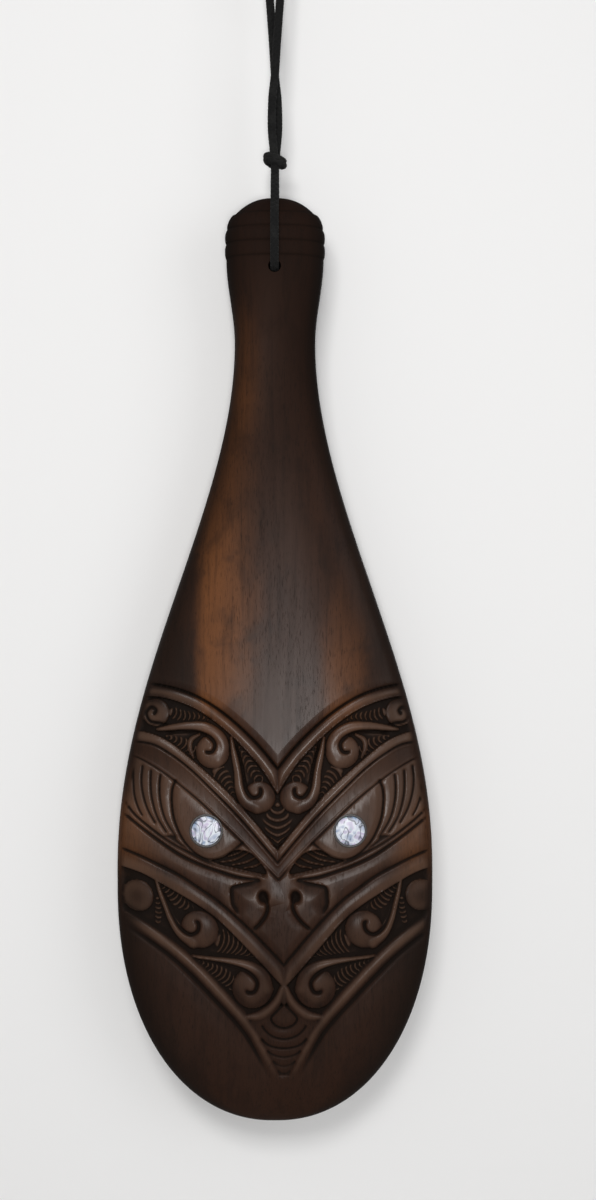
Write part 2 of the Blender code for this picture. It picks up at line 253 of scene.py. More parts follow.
def groove(path, half, depth, taper=0.04, power=1.0):
    """A knife cut along a path, running out at its ends."""
    spot, off, share, _ = near(path, half)
    fade = ease(np.minimum(share, 1 - share) / taper) if taper else 1.0
    relief[spot] -= depth * np.clip(1 - off / half, 0, 1) ** power * fade


def ridge(path, halves, top, crown, wall=WALL_SLOPE):
    """A rounded band left standing along a path."""
    spot, off, share, _ = near(path, max(halves) + 2.0)
    half = np.interp(share, np.linspace(0, 1, len(halves)), halves)
    form = top - crown * np.minimum(off / half, 1) ** 2 - wall * np.maximum(off - half, 0)
    relief[spot] = np.maximum(relief[spot], form)


def boss(centre, radius, top, crown):
    """A round swelling, such as the head of a scroll, with its radius in pixels."""
    middle = on_face(centre)[0]
    radius = radius * PIXEL_MM
    off = np.hypot(side_mm - middle[0], down_mm - middle[1])
    form = top - crown * np.minimum(off / radius, 1) ** HEAD_ROUNDNESS
    relief[:] = np.maximum(relief, form - WALL_SLOPE * np.maximum(off - radius, 0))


def scroll(stem, stem_halves, head, radius, curl):
    """A stem that swells into a round head, with a cut that curls into it. All its sizes are in pixels."""
    boss(head, radius, SCROLL_TOP, SCROLL_CROWN)
    halves = [half * PIXEL_MM for half in stem_halves]
    ridge(line(*stem), halves, SCROLL_TOP - STEM_DROP, SCROLL_CROWN * STEM_CROWN_SHARE)
    groove(line(*curl), half=1.0, depth=1.25, taper=0.08, power=0.75)


def notches(strip, halves, count, bow):
    """A row of small curved ridges across a strip, standing on the sunk ground."""
    spot, off, share, _ = near(line(*strip), max(halves))
    half = np.interp(share, np.linspace(0, 1, len(halves)), halves)
    across = np.clip(off / half, 0, 1)
    phase = share * count + bow * across**2
    crest = (0.5 + 0.5 * np.cos(math.tau * phase)) ** NOTCH_SHARPNESS
    form = -GROUND + NOTCH_HEIGHT * crest * ease((1 - across) / NOTCH_RUN_OUT)
    relief[spot] = np.maximum(relief[spot], np.where(off < half, form, -9.0))


# Upper V band and the brow
BAND1_TOP = line(
    (138, 683), (160, 685.5), (180, 690), (200, 698), (220, 710.5), (240, 727), (260, 747), (278, 769)
)
BAND1_FOOT = line(
    (136, 696), (160, 697), (180, 702), (200, 711), (220, 725), (240, 743.5), (260, 766), (278, 794)
)
BROW_TOP = line(
    (122, 731), (150, 735), (170, 744), (190, 759.5), (210, 777), (230, 796), (250, 818), (278, 852.5)
)
BROW_BEAD = line(
    (122, 743), (150, 745), (170, 755), (190, 770), (210, 789), (230, 809), (250, 831), (278, 864)
)
BROW_FOOT = line(
    (118, 752), (140, 760), (160, 771), (180, 785.5), (200, 802), (220, 821), (250, 851), (278, 880)
)
BEYOND = np.array([[-6.0, 0.0]])
SWELL_REACH = 2.4


def panel(top, foot):
    """The closed outline between two lines, carried past the centre line and past the blade's edge."""
    inner = np.vstack([top[-1:] + BEYOND, foot[-1:] + BEYOND])
    outer = np.vstack([foot[:1] - 2 * BEYOND, top[:1] - 2 * BEYOND])
    return np.vstack([top, inner, foot[::-1], outer])


def swell(top, foot, crown):
    """Rounds a band over between its two edges."""
    spot, off, _, _ = near(np.vstack([top, foot[::-1]]), 1.0)
    form = -crown * (1 - np.clip(off / SWELL_REACH, 0, 1)) ** 2
    relief[spot] += np.where(within(panel(top, foot), spot), form, 0.0)


sink(panel(BAND1_FOOT, BROW_TOP), GROUND, slope=0.7)
swell(BAND1_TOP, BAND1_FOOT, crown=0.7)
groove(BAND1_TOP, half=0.8, depth=0.8, taper=0)
groove(BAND1_TOP, half=3.2, depth=0.35, taper=0)
swell(BROW_TOP, BROW_BEAD, crown=0.5)
groove(BROW_BEAD, half=0.8, depth=0.6, taper=0)
sink(panel(BROW_BEAD, BROW_FOOT), depth=0.35, slope=1.6)
groove(BROW_FOOT, half=0.6, depth=0.75, taper=0)

# Scrolls and notches of the upper panel
UPPER_BUD = (155, 713)
UPPER_BUD_CURL = line((168, 727), (159, 724), (149, 722), (145, 714), (150, 708), (155, 711), (152, 716))
# Each row of notches: its strip in pixels, its half widths in mm, how many notches, and how far they bow
UPPER_NOTCHES = (
    ([(171, 713), (182, 716), (193, 716.5), (203, 718), (210, 721.5)], [2.6, 2.5, 2.0, 1.4, 0.4], 8.5, 0.5),
    ([(166, 737), (176, 741), (187, 747), (195, 754)], [0.8, 2.0, 3.2, 2.4], 6.5, 0.6),
    ([(217, 771), (224, 778), (230, 788), (235, 800)], [3.6, 3.0, 1.7, 0.6], 6.5, -0.6),
    ([(239, 747), (246, 758), (252, 769), (258, 779)], [0.6, 2.0, 2.7, 2.4], 6.5, -0.8),
    ([(278.3, 806), (278.3, 820), (278.3, 833), (278.3, 847)], [3.5, 6.6, 5.4, 0.8], 5.5, 1.2),
)
TENDRIL = line((199, 735), (191, 740), (189.5, 748), (193, 758))
MIDDLE_CUT = line((278.3, 806), (278.3, 825), (278.3, 845))

boss(UPPER_BUD, radius=13.5, top=-0.25, crown=0.6)
groove(UPPER_BUD_CURL, half=1.0, depth=1.0)
scroll(
    stem=[(157, 730), (172, 728), (188, 727), (204, 728), (217, 736), (222, 748), (217, 760)],
    stem_halves=[1.2, 3.0, 4.6, 5.4, 6.2, 7.0, 7.0],
    head=(212.5, 752),
    radius=16.5,
    curl=[
        (163, 734), (180, 731.5), (196, 732), (208, 736.5), (214.5, 744), (212.5, 751.5), (207, 752.5),
        (204.8, 748.5),
    ],
)
scroll(
    stem=[(231, 738), (234, 754), (238, 772), (240, 788), (246, 801), (257, 806)],
    stem_halves=[1.2, 2.8, 3.6, 4.6, 6.5, 8.0],
    head=(259.5, 797.5),
    radius=15.5,
    curl=[
        (235, 742), (239.5, 758), (242.5, 774), (245.5, 789), (252, 797.5), (259, 796), (260.5, 790),
        (256.5, 787.5),
    ],
)
for row in UPPER_NOTCHES:
    notches(*row)
ridge(TENDRIL, [0.4, 0.9, 0.9, 0.4], top=-0.7, crown=0.4)
groove(MIDDLE_CUT, half=0.5, depth=0.5)

# Eye field: lashes, leaf shaped eye and lower lid
LID_TOP = line(
    (121, 800), (133, 815), (150, 829), (170, 843), (190, 853.5), (210, 863), (235, 870), (268, 877)
)
LID_FOOT = line(
    (121, 814), (141, 829), (160, 842.5), (180, 855.5), (200, 865), (220, 872), (240, 878), (262, 880.5)
)
LEAF = line(
    (176, 779), (172, 790), (171.5, 804), (174.5, 822), (184, 842), (200, 857), (215, 859.5), (230, 853),
    (244, 842),
)
EYE_CORNER = line(
    (208, 861), (222, 857.5), (236, 850), (250, 852.5), (262, 864), (266, 875), (240, 870), (220, 865.5)
)
LASH_GAP = line((160, 836), (172, 834), (181, 842), (193, 852.5), (180, 848))
CORNER_STROKES = (
    line((228, 857), (238, 853.5), (246.5, 848)),
    line((220, 862.5), (235, 860), (249, 852.5)),
    line((232, 865.5), (246, 862.5), (257, 857)),
    line((244, 868.5), (255, 866.5), (262.5, 862)),
)
LASHES = (
    line((133, 756), (132, 772), (133, 794), (137, 808), (143, 819)),
    line((142, 764), (140.5, 780), (142, 794), (147, 810), (156, 826)),
    line((150.5, 768), (150, 785), (151.5, 800), (157, 818), (168, 836)),
    line((160.5, 772), (159, 786), (160, 802), (165, 820), (177, 840)),
)

sink(EYE_CORNER, GROUND, slope=0.6)
for stroke in CORNER_STROKES:
    ridge(stroke, [0.12, 0.28, 0.15], top=-0.65, crown=0.3, wall=2.2)
sink(LASH_GAP, depth=0.9, slope=1.2)
groove(LEAF, half=0.7, depth=0.75, taper=0.02)
groove(LEAF, half=2.6, depth=0.3, taper=0.02)
for lash in LASHES:
    groove(lash, half=0.7, depth=0.6, taper=0.06)
    groove(lash, half=1.9, depth=0.22, taper=0.06)
groove(LID_TOP, half=1.0, depth=0.95, taper=0.03)
groove(LID_FOOT, half=1.0, depth=0.95, taper=0.03)
groove(LID_FOOT, half=3.6, depth=0.35, taper=0.03)

# Jaw band and beak
BAND3_TOP = line(
    (118, 849), (140, 857), (160, 866), (180, 876), (200, 889), (220, 903), (250, 930), (284.5, 966)
)
BAND3_FOOT = line(
    (116, 866), (140, 873), (160, 883), (180, 894), (200, 906), (220, 921), (250, 951), (284.5, 988.5)
)
BEAK_EDGE = line((268, 879), (250, 883), (238, 885.5), (231.5, 888), (231, 897), (233, 907), (242, 919))
BEAK_DROP = 1.25
BEAK_REACH = 7.5
BEAK_CURVE = 1.7
BEAK_LIP = 0.5
BEAK_FADE_IN = 0.3
BEAK_FADE_OUT = 0.18
NOSTRIL_CUT = line((251, 932), (259, 925), (265, 917), (267.6, 909), (266.5, 902), (264, 896))
NOSTRIL_OUT, NOSTRIL_DOWN = on_face((263.3, 897.5))[0]
NOSTRIL_HALF_WIDTH = 2.5
NOSTRIL_HALF_HEIGHT = 3.1
NOSTRIL_DEPTH = 2.5
NOSTRIL_RIM = 1.15

groove(BAND3_TOP, half=1.0, depth=0.6, taper=0)
groove(BAND3_TOP, half=3.4, depth=0.35, taper=0)
spot, off, share, side = near(BEAK_EDGE, BEAK_REACH)
hollowed = np.clip(1 - off / BEAK_REACH, 0, 1) ** BEAK_CURVE
shelf = np.where(side > 0, hollowed, np.clip(1 - off / BEAK_LIP, 0, 1))
relief[spot] -= BEAK_DROP * shelf * ease(share / BEAK_FADE_IN) * ease((1 - share) / BEAK_FADE_OUT)
groove(NOSTRIL_CUT, half=1.1, depth=1.2, taper=0.16, power=0.8)
pit = np.hypot((side_mm - NOSTRIL_OUT) / NOSTRIL_HALF_WIDTH, (down_mm - NOSTRIL_DOWN) / NOSTRIL_HALF_HEIGHT)
relief -= NOSTRIL_DEPTH * ease(NOSTRIL_RIM - pit)

# Lower panel with its scrolls and notches, and the last V band with the valley outside it
BAND4_CREST = line(
    (116, 915), (140, 928), (159, 940), (178, 954), (198, 972), (218, 993), (238, 1014.5), (252, 1032),
    (262, 1049), (270.5, 1065), (277.5, 1078), (283, 1089),
)
BAND4_HALVES = [1.6, 1.9, 2.0, 2.0, 1.9, 1.5, 0.7]
CHIN_CENTRE = on_face((284, 1077))
LOWER_BUD = (137, 897)
LOWER_NOTCHES = (
    ([(160, 885), (169, 892), (179, 902), (190, 909)], [1.4, 2.6, 3.2, 1.6], 7.5, 0.5),
    ([(157, 900), (158, 912), (157, 926)], [1.0, 1.6, 1.0], 5.5, 0.3),
    ([(219, 941), (229, 944), (241, 949), (256, 958)], [5.4, 4.6, 3.0, 0.8], 8.5, 0.9),
    ([(199, 962), (211, 968.5), (222, 976), (233, 985)], [0.8, 2.2, 3.4, 3.0], 8.5, 0.7),
)
VALLEY_REACH = 14.0
VALLEY_CUT = 0.75
VALLEY_CUT_AT = 3.1
VALLEY_CUT_SPREAD = 1.0
VALLEY_DROP = 0.6
VALLEY_BANK = 2.8
VALLEY_RISE = 9.0
VALLEY_FADE_IN = 0.2
VALLEY_FADE_FROM = 0.72
BAND4_END_DROP = 0.6
BAND4_END_SPREAD = 2.4
BAND4_END_SHARE = 0.22

sink(panel(BAND3_FOOT, np.vstack([BAND4_CREST[:-LINE_STEPS], CHIN_CENTRE])), GROUND, slope=0.8)
swell(BAND3_TOP, BAND3_FOOT, crown=0.35)
boss(LOWER_BUD, radius=15.5, top=-0.3, crown=0.6)
scroll(
    stem=[(155, 880), (160, 893), (166, 907), (172, 921), (181, 934), (193, 942)],
    stem_halves=[1.0, 2.6, 3.2, 3.8, 5.0, 7.0],
    head=(199.5, 930),
    radius=18.5,
    curl=[
        (160, 884), (166, 901), (172, 916), (180, 929), (190, 935), (197.5, 931.5), (198, 923.5),
        (192.5, 921.5),
    ],
)
scroll(
    stem=[(192, 956.5), (210, 960), (230, 963), (248, 967.5), (261, 977), (264, 990)],
    stem_halves=[1.0, 2.4, 3.6, 5.2, 7.5, 9.0],
    head=(252.5, 989),
    radius=20.0,
    curl=[
        (198, 961), (218, 963.5), (236, 967.5), (249, 973.5), (257, 983), (254.5, 992), (248, 993),
        (245.5, 988),
    ],
)
for row in LOWER_NOTCHES:
    notches(*row)
ridge(BAND4_CREST, BAND4_HALVES, top=-0.05, crown=0.5, wall=0.9)
spot, off, share, side = near(BAND4_CREST, VALLEY_REACH)
valley = VALLEY_CUT * band_of(off, VALLEY_CUT_AT, VALLEY_CUT_SPREAD)
valley += VALLEY_DROP * np.clip(off / VALLEY_BANK, 0, 1) * (1 - ease((off - VALLEY_BANK) / VALLEY_RISE))
valley *= ease(share / VALLEY_FADE_IN) * (1 - ease((share - VALLEY_FADE_FROM) / (1 - VALLEY_FADE_FROM)))
relief[spot] -= np.where(side < 0, valley, 0.0)
relief[spot] -= BAND4_END_DROP * band_of(off, 0.0, BAND4_END_SPREAD) * (1 - ease(share / BAND4_END_SHARE))

# Chin: crescents below the inner scrolls, then a lobe and overlapping scales
CHIN = line(
    (290, 1002), (278, 1009), (270, 1016), (261, 1020), (251, 1021), (258, 1034), (264, 1048), (271, 1062),
    (279, 1077), (284.5, 1087), (290, 1088),
)
CHIN_LEVEL = -0.5
CHIN_BAR = line((284.3, 984), (284.3, 992), (284.3, 1003))
CRESCENT = line((282.0, 989), (279.5, 997), (275, 1005), (268, 1012), (258, 1017.5), (247, 1018))
LOBE = line((284.3, 1005), (277.5, 1011.5), (271, 1019.5), (275.5, 1026.5), (284.3, 1029.2), (293, 1026.5))
SCALES_AND_DEPTHS = (
    (LOBE, 0.6),
    (line((261, 1025), (265.5, 1032), (273, 1037.8), (284.3, 1040.3), (295, 1037.8)), 0.5),
    (line((260.5, 1038.5), (264.5, 1043.5), (271.5, 1047.8), (284.3, 1049.8), (296, 1047.8)), 0.5),
    (line((266, 1051.5), (274, 1056.5), (284.3, 1058.6), (294, 1056.5)), 0.35),
    (line((272, 1062), (277.5, 1066.3), (284.3, 1068), (291, 1066.3)), 0.25),
    (line((277, 1072), (284.3, 1076), (291, 1072)), 0.15),
)

fill(CHIN, CHIN_LEVEL)
ridge(CHIN_BAR, [1.0, 1.5, 1.0], top=-0.3, crown=0.35)
ridge(CRESCENT, [1.0, 1.6, 1.9, 2.1, 1.9, 1.0], top=-0.12, crown=0.5)
for scale, depth in SCALES_AND_DEPTHS:
    groove(scale, half=0.55, depth=depth, taper=0.08)
    groove(scale, half=2.4, depth=depth * 0.5, taper=0.08)

# Mesh of the club
# Rows along the club and points round it, close enough on the carved face to hold each notch, thinned
# afterwards where the wood is plain. The carving is cut straight into the face.
CARVED_FROM = 0.192
CARVED_TO = 0.354
DOME_ROWS = DOME_HEIGHT * np.linspace(0.04, 1.0, 24) ** 2
BAND_ROWS = BAND_HEIGHT * np.array([0.07, 0.13, 0.2, 0.3, 0.42, 0.56, 0.7, 0.82, 0.92, 0.97, 1.0])
HANDLE_ROW_COUNT = 90
CARVED_ROW_COUNT = 400
TIP_ROW_COUNT = 40
BELOW_BANDS = 0.001
RIM_SHARE = 0.94
RIM_POINTS = 8
FACE_POINTS = 330
BACK_POINTS = 60
CARVING_EDGE = 0.0008
CARVING_RUN_OUT = 0.0030
TRIANGLES = 185000
WOOD_SHARP_ANGLE = math.radians(55)

tip_turn = np.linspace(0, math.pi / 2, TIP_ROW_COUNT, endpoint=False)
rows = np.concatenate(
    [
        DOME_ROWS,
        *(DOME_HEIGHT + band * BAND_HEIGHT + BAND_ROWS for band in range(BAND_COUNT)),
        np.linspace(BANDS_END + BELOW_BANDS, CARVED_FROM, HANDLE_ROW_COUNT, endpoint=False),
        np.linspace(CARVED_FROM, CARVED_TO, CARVED_ROW_COUNT, endpoint=False),
        CARVED_TO + (CLUB_LENGTH - CARVED_TO) * np.sin(tip_turn),
    ]
)


def ring_shares(points, power):
    """Places across one side of a ring, left to right, as shares of its half width and half thickness."""
    flat = np.linspace(-RIM_SHARE, RIM_SHARE, points)
    depth = (1 - np.abs(flat) ** power) ** (1 / power)
    rim_depth = depth[0] * np.linspace(0, 1, RIM_POINTS, endpoint=False)
    rim = (1 - rim_depth**power) ** (1 / power)
    return np.concatenate([-rim, flat, rim[::-1]]), np.concatenate([rim_depth, depth, rim_depth[::-1]])


def sample(field, x, d):
    """A grid field's value at club places, by the mirrored distance from the carving's centre line."""
    u = np.abs(x * 1000 - centre_line_mm(d * 1000)) / GRID_MM
    v = (d * 1000 - GRID_TOP) / GRID_MM
    known = (v >= 0) & (v < field.shape[0] - 1) & (u < field.shape[1] - 1)
    u = np.clip(u, 0, field.shape[1] - 1.001)
    v = np.clip(v, 0, field.shape[0] - 1.001)
    i, j = v.astype(int), u.astype(int)
    p, q = v - i, u - j
    upper = field[i, j] * (1 - q) + field[i, j + 1] * q
    lower = field[i + 1, j] * (1 - q) + field[i + 1, j + 1] * q
    return np.where(known, upper * (1 - p) + lower * p, 0.0)


def rim_fade(x, d):
    """1 on the face and 0 at its rounded edge, where the carving runs out."""
    return ease((half_width(d) - np.abs(x) - CARVING_EDGE) / CARVING_RUN_OUT)


def added(name, data):
    """A new object in the scene, with this mesh, lamp or camera."""
    obj = bpy.data.objects.new(name, data)
    bpy.context.scene.collection.objects.link(obj)
    return obj


def apply_modifiers(obj):
    """Turns an object's modifiers into its mesh."""
    graph = bpy.context.evaluated_depsgraph_get()
    made = bpy.data.meshes.new_from_object(obj.evaluated_get(graph))
    obj.modifiers.clear()
    obj.data = made


points = [np.array([[0.0, 0.0, BUTT_TOP_Z]])]
for d in rows:
    wide, thick, power = half_width(d), half_thickness(d), squareness(d)
    front, front_depth = ring_shares(FACE_POINTS, power)
    back, back_depth = ring_shares(BACK_POINTS, power)
    x = front * wide
    y = -front_depth * thick - 0.001 * sample(relief, x, np.full(x.shape, d)) * rim_fade(x, d)
    back_x = back[::-1][1:-1] * wide
    back_y = back_depth[1:-1] * thick
    if d >= WAIST_AT:
        back_y = np.minimum(back_y, BACK_LAND)
    ring = np.column_stack([np.concatenate([x, back_x]), np.concatenate([y, back_y])])
    points.append(np.column_stack([ring, np.full(len(ring), BUTT_TOP_Z - d)]))
points.append(np.array([[0.0, 0.0, BUTT_TOP_Z - CLUB_LENGTH]]))
round_count = len(points[1])
ring_start = 1 + round_count * np.arange(len(rows))
step = np.arange(round_count)
following = (step + 1) % round_count
quads = np.concatenate(
    [
        np.column_stack([upper + step, lower + step, lower + following, upper + following])
        for upper, lower in zip(ring_start, ring_start[1:])
    ]
)
tip = 1 + round_count * len(rows)
faces = [(0, 1 + i, 1 + j) for i, j in zip(step, following)]
faces += [(tip, ring_start[-1] + j, ring_start[-1] + i) for i, j in zip(step, following)]
faces += quads.tolist()
club_mesh = bpy.data.meshes.new("club")
club_mesh.from_pydata(np.concatenate(points).tolist(), [], faces)
club_mesh.update()
club = added("club", club_mesh)
thin = club.modifiers.new("thin", "DECIMATE")
thin.ratio = TRIANGLES / (2 * len(quads))
apply_modifiers(club)

# The cord hole, with eased mouths, and the two eye pockets are cut out of the wood
HOLE = Vector(frame["joints"][0]["pos_m"])
BORE_RADIUS = 0.0024
MOUTH_OUT_AND_SIZE = [(0.012, 2.2), (0.0004, 1.18), (0.0, 1.06), (-0.0006, 1.01), (-0.0018, 1.0)]
POCKET_CLEARANCE = 0.00005
POCKET_CUT_FROM = -0.01
TURNED_SIDES = 64


def turned(profile, axis_point):
    """A solid turned about the Y direction, from points of radius and y."""
    bm = bmesh.new()
    place = Matrix.Translation(axis_point) @ Matrix.Rotation(math.pi / 2, 4, "X")
    angles = [math.tau * i / TURNED_SIDES for i in range(TURNED_SIDES)]
    around = [(math.cos(a), math.sin(a)) for a in angles]
    previous = None
    for radius, y in profile:
        ring = [bm.verts.new(place @ Vector((radius * x, radius * z, -y))) for x, z in around]
        if previous:
            for i in range(TURNED_SIDES):
                bm.faces.new((previous[i], previous[i - 1], ring[i - 1], ring[i]))
        else:
            bm.faces.new(ring)
        previous = ring
    bm.faces.new(previous[::-1])
    bmesh.ops.recalc_face_normals(bm, faces=bm.faces)
    return bm


def bm_object(name, bm):
    mesh = bpy.data.meshes.new(name)
    bm.to_mesh(mesh)
    bm.free()
    return added(name, mesh)


hole_half = float(half_thickness(np.array(BUTT_TOP_Z - HOLE.z)))
hole_profile = [(BORE_RADIUS * size, -hole_half - out) for out, size in MOUTH_OUT_AND_SIZE]
hole_profile += [(radius, -y) for radius, y in reversed(hole_profile)]
cutters = [bm_object("hole_cutter", turned(hole_profile, HOLE))]
for side in ("left", "right"):
    low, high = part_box(f"eye_glue_{side}")
    centre = (low + high) / 2
    radius = (high.x - low.x) / 2 + POCKET_CLEARANCE
    pocket = [(radius, POCKET_CUT_FROM), (radius, high.y - centre.y + POCKET_CLEARANCE)]
    cutters.append(bm_object(f"pocket_cutter_{side}", turned(pocket, centre)))
for cutter in cutters:
    boolean = club.modifiers.new("cut", "BOOLEAN")
    boolean.operation = "DIFFERENCE"
    boolean.object = cutter
    apply_modifiers(club)
    bpy.data.objects.remove(cutter, do_unlink=True)
club.data.shade_smooth()
club.data.set_sharp_from_angle(angle=WOOD_SHARP_ANGLE)

# Marks for the stain and the painted light. The cuts and seams are dark, partly stain and partly painted
# shade.
# The crests are lighter, partly rubbed and partly a painted highlight. The edges are darker, partly stain and
# partly painted shade where the face turns away.
HOLLOW_BLUR, HOLLOW_FULL = 5, 0.55
CREST_BLUR, CREST_FULL, CREST_SOFTENING = 12, 0.7, 2
NOTCH_BLUR, NOTCH_FULL, NOTCH_SHARE = 3, 0.14, 0.9
NOTCHES_BELOW, NOTCHES_OVER = 0.7, 0.4
PIT_BELOW, PIT_OVER = 0.1, 0.5
DEEP_SHARE = 0.55
SEAM_SHARE = 0.5
SEAM_SPREAD = 0.0005
FACING_LIMIT = 0.35
CHEEK_WEAR = 0.5
CHEEK_WEAR_AT, CHEEK_WEAR_SPREAD = 0.241, 0.022
CHEEK_WEAR_OUT, CHEEK_WEAR_OVER = 0.012, 0.012
# The darker edges of the blade: partly stain, partly painted shade where the face turns away
RIM_FROM = 0.6
RIM_BARE = 0.7
RIM_BARE_AT, RIM_BARE_SPREAD = 0.245, 0.035


def blurred(field, reach):
    """A field averaged over squares of cells, three times, which is close to a soft round blur."""
    width = 2 * reach + 1
    for _ in range(3):
        for axis in (0, 1):
            padded = np.pad(field, [(reach, reach) if i == axis else (0, 0) for i in (0, 1)], mode="edge")
            total = np.insert(np.cumsum(padded, axis=axis), 0, 0.0, axis=axis)
            ahead = np.take(total, range(width, total.shape[axis]), axis=axis)
            behind = np.take(total, range(0, total.shape[axis] - width), axis=axis)
            field = (ahead - behind) / width
    return field


def per_vertex(name):
    """A reading of each of the club's vertices, as rows of three numbers."""
    values = np.empty(len(club.data.vertices) * 3, np.float32)
    club.data.vertices.foreach_get(name, values)
    return values.reshape(-1, 3)


place = per_vertex("co").astype(float)
normal = per_vertex("normal")
hollow = np.clip((blurred(relief, HOLLOW_BLUR) - relief) / HOLLOW_FULL, 0, 1)
crest = np.clip((relief - blurred(relief, CREST_BLUR)) / CREST_FULL, 0, 1)
# The tops of the small notches get a painted highlight, thin light lines on the dark ground
notch_tops = np.clip((relief - blurred(relief, NOTCH_BLUR)) / NOTCH_FULL, 0, 1)
notch_tops = notch_tops * ease((-relief - NOTCHES_BELOW) / NOTCHES_OVER)
crest = np.maximum(blurred(crest, CREST_SOFTENING), NOTCH_SHARE * notch_tops)
deep = np.clip(-relief / GROUND, 0, 1) + np.clip((-relief - GROUND - PIT_BELOW) / PIT_OVER, 0, 1)
x, d = place[:, 0], BUTT_TOP_Z - place[:, 2]
share = x / np.maximum(half_width(d), 1e-4)
facing = (normal[:, 1] < FACING_LIMIT) * rim_fade(x, d) * (place[:, 1] < 0)
# Dark lines at the seams of the butt's bands: partly stain, partly painted shade in their grooves
seam = sum(band_of(d, DOME_HEIGHT + band * BAND_HEIGHT, SEAM_SPREAD) for band in range(BAND_COUNT + 1))
cheek_wear = CHEEK_WEAR * band_of(d, CHEEK_WEAR_AT, CHEEK_WEAR_SPREAD)
cheek_wear = cheek_wear * ease((np.abs(x) - CHEEK_WEAR_OUT) / CHEEK_WEAR_OVER)
# In the cuts: stain that lies in them, and painted shade, darker where the cuts are deeper
in_cuts = np.clip(sample(hollow, x, d) + DEEP_SHARE * sample(deep, x, d), 0, 1)
rim_bare = 1 - RIM_BARE * band_of(d, RIM_BARE_AT, RIM_BARE_SPREAD)
marks = {
    "recess": in_cuts * facing + SEAM_SHARE * seam,
    # Lighter crests: rubbed wear and a painted highlight
    "worn": (sample(crest, x, d) + cheek_wear) * facing,
    # Darker edges: stain, and painted shade where the face turns away
    "rim": ease((np.abs(share) - RIM_FROM) / (1 - RIM_FROM)) * rim_bare,
}
for name, values in marks.items():
    attribute = club.data.attributes.new(name, "FLOAT", "POINT")
    attribute.data.foreach_set("value", values.astype(np.float32))


# Wood finish
# Dark brown stain under a satin oil: straight grain down the club, short open pores, reddish patches where
# the stain is thin, with painted light on the left side, near black in the cuts, partly painted shade,
# painted shade darkening the blade towards the tip and along its left edge, and lighter crests, rubbed by
# hands and with a painted highlight.
class Wire:
    """A socket in a material. Arithmetic on it adds Math nodes, and node() adds any other kind."""

    def __init__(self, tree, socket=None):
        self.tree = tree
        self.socket = socket

    def node(self, kind, settings=None, inputs=None, output=0):
        made = self.tree.nodes.new(kind)
        for name, value in (settings or {}).items():
            if name == "stops":
                elements = made.color_ramp.elements
                while len(elements) < len(value):
                    elements.new(1.0)
                for element, (position, colour) in zip(elements, value):
                    element.position = position
                    element.color = colour
            else:
                setattr(made, name, value)
        for name, value in (inputs or {}).items():
            if isinstance(value, Wire):
                self.tree.links.new(value.socket, made.inputs[name])
            else:
                made.inputs[name].default_value = value
        return Wire(self.tree, made.outputs[output])

    def math(self, operation, *values):
        return self.node("ShaderNodeMath", {"operation": operation}, dict(enumerate(values)))

    def __add__(self, other):
        return self.math("ADD", self, other)

    def __sub__(self, other):
        return self.math("SUBTRACT", self, other)

    def __rsub__(self, other):
        return self.math("SUBTRACT", other, self)

    def __mul__(self, other):
        return self.math("MULTIPLY", self, other)

    __radd__ = __add__
    __rmul__ = __mul__

    def span(self, low, high):
        """0 below low, 1 above high, smooth between."""
        settings = {"interpolation_type": "SMOOTHSTEP"}
        return self.node("ShaderNodeMapRange", settings, {"Value": self, "From Min": low, "From Max": high})

    def stretch(self, start, end):
        """1 between two soft edges, each given as where it begins and where it ends."""
        return self.span(*start) * (1 - self.span(*end))

    def noise(self, scale, detail=3.0, roughness=0.5, distortion=0.0):
        inputs = {"Scale": scale, "Detail": detail, "Roughness": roughness, "Distortion": distortion}
        return self.node("ShaderNodeTexNoise", None, {"Vector": self, **inputs})

    def stretched(self, *scales):
        return self.node("ShaderNodeVectorMath", {"operation": "MULTIPLY"}, {0: self, 1: scales})

    def part(self, axis):
        """One of a vector's three numbers."""
        return self.node("ShaderNodeSeparateXYZ", None, {0: self}, axis)

    def tint(self, none, full):
        """One colour where this is 0, going to another where it is 1."""
        return self.node("ShaderNodeMix", {"data_type": "RGBA"}, {0: self, 6: none, 7: full}, 2)

    def mixed(self, other, share):
        """This colour with another over it, by a share from 0 to 1."""
        return share.tint(self, other)

    def mark(self, name):
        return self.node("ShaderNodeAttribute", {"attribute_name": name}, output=2)

    def bump(self, height, strength, distance):
        inputs = {"Strength": strength, "Distance": distance, "Height": height}
        return self.node("ShaderNodeBump", None, inputs)

    def to(self, node, name):
        self.tree.links.new(self.socket, node.inputs[name])


def new_finish(name, **constants):
    """A new material, its shader with some plain values, and a wire with the object's own coordinates."""
    material = bpy.data.materials.new(name)
    material.use_nodes = True
    shader = material.node_tree.nodes["Principled BSDF"]
    for socket, value in constants.items():
        shader.inputs[socket].default_value = value
    wire = Wire(material.node_tree)
    return material, shader, wire.node("ShaderNodeTexCoord", output=3)


BROWN = (0.032, 0.012, 0.0055, 1.0)
RED_BROWN = (0.160, 0.056, 0.016, 1.0)
GREY_BROWN = (0.058, 0.033, 0.024, 1.0)
DARK_STAIN = (0.012, 0.0055, 0.0035, 1.0)
NEAR_BLACK = (0.006, 0.004, 0.003, 1.0)
# The lighter colour of the crests: rubbed wood and a painted highlight
RUBBED_AND_HIGHLIGHT = (0.210, 0.120, 0.078, 1.0)
PATCH_WANDER = 0.012
BLOTCH_WANDER = 0.008

